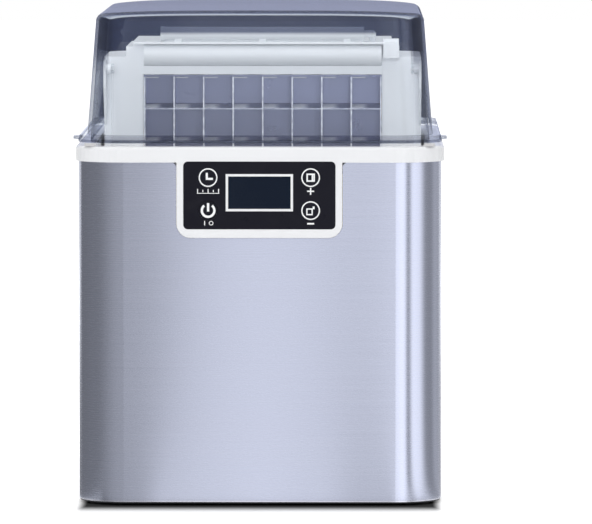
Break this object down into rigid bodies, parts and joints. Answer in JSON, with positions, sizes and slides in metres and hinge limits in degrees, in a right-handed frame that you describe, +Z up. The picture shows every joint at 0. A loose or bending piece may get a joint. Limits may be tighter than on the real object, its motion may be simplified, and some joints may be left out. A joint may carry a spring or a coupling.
{
  "type": "ice maker",
  "caption": "Countertop clear-ice maker with a brushed steel body, a hinged clear lid, a front control panel and a vertical freezing grid over an ice basket.",
  "frame": {"origin": "middle of the footprint on the surface it stands on", "axes": "+Z up, the front with the control panel faces -Y"},
  "size_m": [0.301, 0.3646, 0.3969],
  "materials": {
    "brushed_steel": "brushed",
    "coated_steel": "powder coated",
    "coated_steel_light": "powder coated",
    "screw_steel": "zinc plated",
    "white_plastic": "gloss",
    "smoke_clear": "clear, smoke tint",
    "clear_plastic": "clear",
    "overlay_black": "satin",
    "display_glass": "gloss",
    "rubber": "matt",
    "rubber_grey": "matt",
    "nickel_plate": "nickel plated",
    "copper": "drawn",
    "brass": "turned",
    "foam": "matt",
    "basket_plastic": "translucent",
    "dark_plastic": "satin",
    "hose_silicone": "translucent",
    "float_foam": "matt",
    "compressor_paint": "painted",
    "fin_metal": "mill",
    "motor_steel": "plated",
    "circuit_board": "gloss",
    "cable_sheath": "matt"
  },
  "bodies": {
    "housing": {"base_pan": "coated_steel", "feet": "rubber", "steel_shell": "brushed_steel", "rear_panel": "coated_steel_light", "panel_screws": "screw_steel", "top_ring": "white_plastic", "control_overlay": "overlay_black", "display_bezel": "white_plastic", "lcd_module": "display_glass", "display_board": "circuit_board", "lid_bumpers": "rubber_grey", "hinge_pins": "screw_steel", "insulation_jacket": "foam", "liner": "white_plastic", "evaporator_grid": "nickel_plate", "refrigerant_coil": "copper", "evaporator_housing": "white_plastic", "water_tube": "white_plastic", "deflector_bar": "white_plastic", "ice_sensor_left": "dark_plastic", "ice_sensor_right": "dark_plastic", "chute_grille": "white_plastic", "water_pump": "dark_plastic", "pump_strainer": "white_plastic", "water_hose": "hose_silicone", "float_stem": "white_plastic", "drain_tube": "hose_silicone", "compressor": "compressor_paint", "compressor_mounts": "rubber", "terminal_cover": "dark_plastic", "condenser": "fin_metal", "fan_shroud": "dark_plastic", "fan_motor": "motor_steel", "filter_drier": "copper", "capillary_tube": "copper", "hot_gas_valve": "brass", "discharge_tube": "copper", "suction_tube": "copper", "main_board": "circuit_board", "wiring_harness": "cable_sheath", "cord_gland": "dark_plastic"},
    "lid": {"lid": "smoke_clear"},
    "basket": {"ice_basket": "basket_plastic"},
    "curtain": {"water_curtain": "clear_plastic"},
    "fan": {"fan_rotor": "dark_plastic"},
    "timer_key": {"key_timer": "overlay_black"},
    "power_key": {"key_power": "overlay_black"},
    "plus_key": {"key_plus": "overlay_black"},
    "minus_key": {"key_minus": "overlay_black"},
    "float": {"level_float": "float_foam"},
    "drain_plug": {"drain_plug": "rubber"}
  },
  "joints": [
    {"name": "lid_hinge", "type": "hinge", "parent": "housing", "child": "lid", "pos_m": [0, 0.174, 0.294], "axis": [-1, 0, 0], "range_deg": [0, 95]},
    {"name": "basket_lift", "type": "slide", "parent": "housing", "child": "basket", "axis": [0, 0, 1], "range_m": [0, 0.18]},
    {"name": "curtain_swing", "type": "hinge", "parent": "housing", "child": "curtain", "pos_m": [0, -0.004, 0.344], "axis": [-1, 0, 0], "range_deg": [0, 12]},
    {"name": "fan_spin", "type": "hinge", "parent": "housing", "child": "fan", "pos_m": [0.078, 0.12, 0.09], "axis": [0, 1, 0], "continuous": true},
    {"name": "timer_press", "type": "slide", "parent": "housing", "child": "timer_key", "axis": [0, 1, 0], "range_m": [0, 0.0006], "stiffness_N_per_m": 500},
    {"name": "power_press", "type": "slide", "parent": "housing", "child": "power_key", "axis": [0, 1, 0], "range_m": [0, 0.0006], "stiffness_N_per_m": 500},
    {"name": "plus_press", "type": "slide", "parent": "housing", "child": "plus_key", "axis": [0, 1, 0], "range_m": [0, 0.0006], "stiffness_N_per_m": 500},
    {"name": "minus_press", "type": "slide", "parent": "housing", "child": "minus_key", "axis": [0, 1, 0], "range_m": [0, 0.0006], "stiffness_N_per_m": 500},
    {"name": "float_rise", "type": "slide", "parent": "housing", "child": "float", "axis": [0, 0, 1], "range_m": [0, 0.014]},
    {"name": "plug_pull", "type": "slide", "parent": "housing", "child": "drain_plug", "axis": [0, 1, 0], "range_m": [0, 0.015]}
  ]
}
